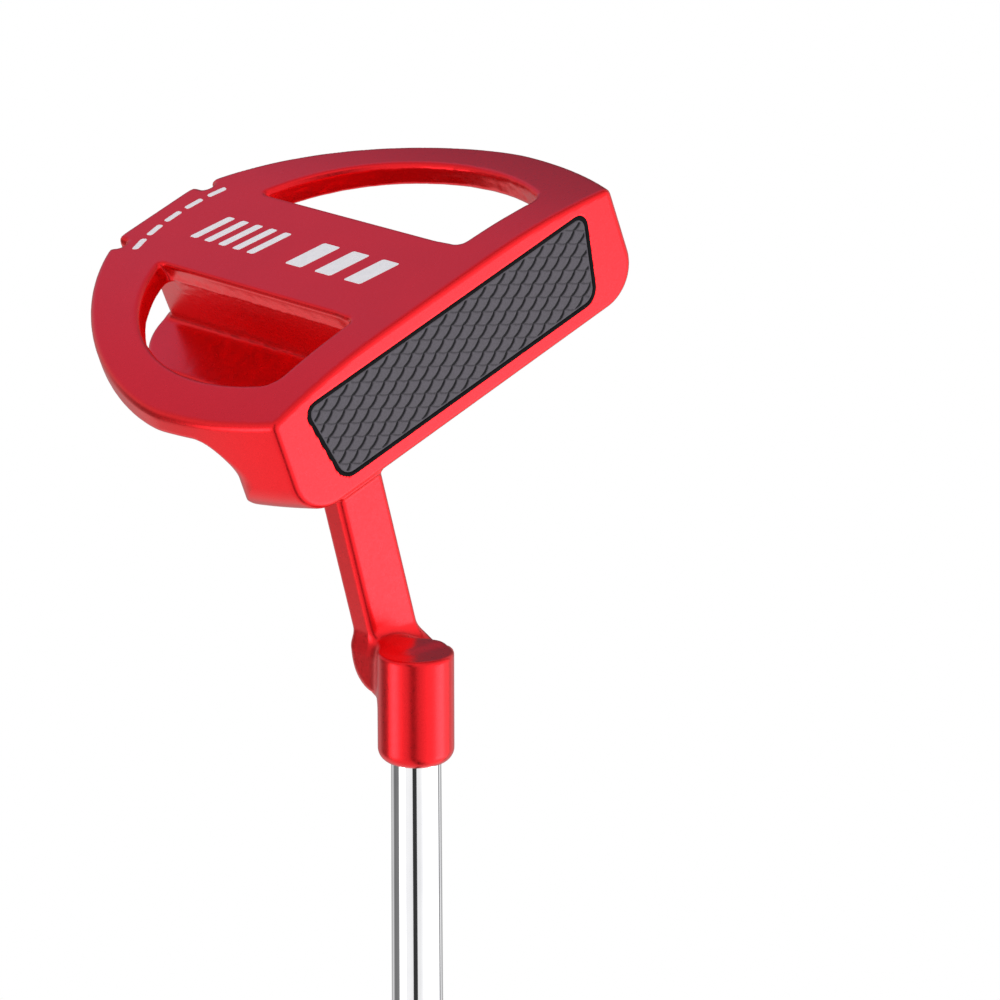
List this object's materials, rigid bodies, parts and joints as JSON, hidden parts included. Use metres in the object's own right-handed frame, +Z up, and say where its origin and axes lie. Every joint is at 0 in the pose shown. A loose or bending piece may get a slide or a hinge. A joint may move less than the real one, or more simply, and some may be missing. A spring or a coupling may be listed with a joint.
{
  "type": "golf putter",
  "caption": "Right-handed mallet golf putter with two round white sighting discs, rubber face insert, forward crank neck, tapered chrome shaft and two-colour grip.",
  "frame": {"origin": "on the flat middle of the sole, halfway between the leading edge and the rear of the head", "axes": "+Z up from the sole, -Y out of the striking face towards the hole, +X towards the heel and the shaft"},
  "size_m": [0.3847, 0.1106, 0.8098],
  "materials": {
    "red_head": "satin metallic",
    "insert_rubber": "scaled",
    "gasket_black": "matte",
    "bond_film": "matte",
    "disc_white": "satin",
    "ring_black": "gloss",
    "white_paint": "satin",
    "epoxy": "gloss",
    "shaft_chrome": "polished",
    "grip_tape": "matte",
    "core_foam": "matte",
    "sleeve_black": "matte",
    "sleeve_red": "matte",
    "seam_thread": "matte"
  },
  "bodies": {
    "root": {"head_body": "red_head", "neck": "red_head", "face_insert": "insert_rubber", "insert_gasket": "gasket_black", "insert_film": "bond_film", "front_disc": "disc_white", "rear_disc": "disc_white", "front_disc_ring": "ring_black", "rear_disc_ring": "ring_black", "front_disc_film": "bond_film", "rear_disc_film": "bond_film", "sole_paint_marks": "white_paint", "epoxy_sleeve": "epoxy", "shaft": "shaft_chrome", "grip_tape": "grip_tape", "grip_core": "core_foam", "grip_lip": "sleeve_black", "grip_lower_sleeve": "sleeve_black", "grip_upper_sleeve": "sleeve_red", "grip_paint_marks": "white_paint", "grip_seam": "seam_thread", "butt_cap": "sleeve_black"}
  },
  "joints": []
}
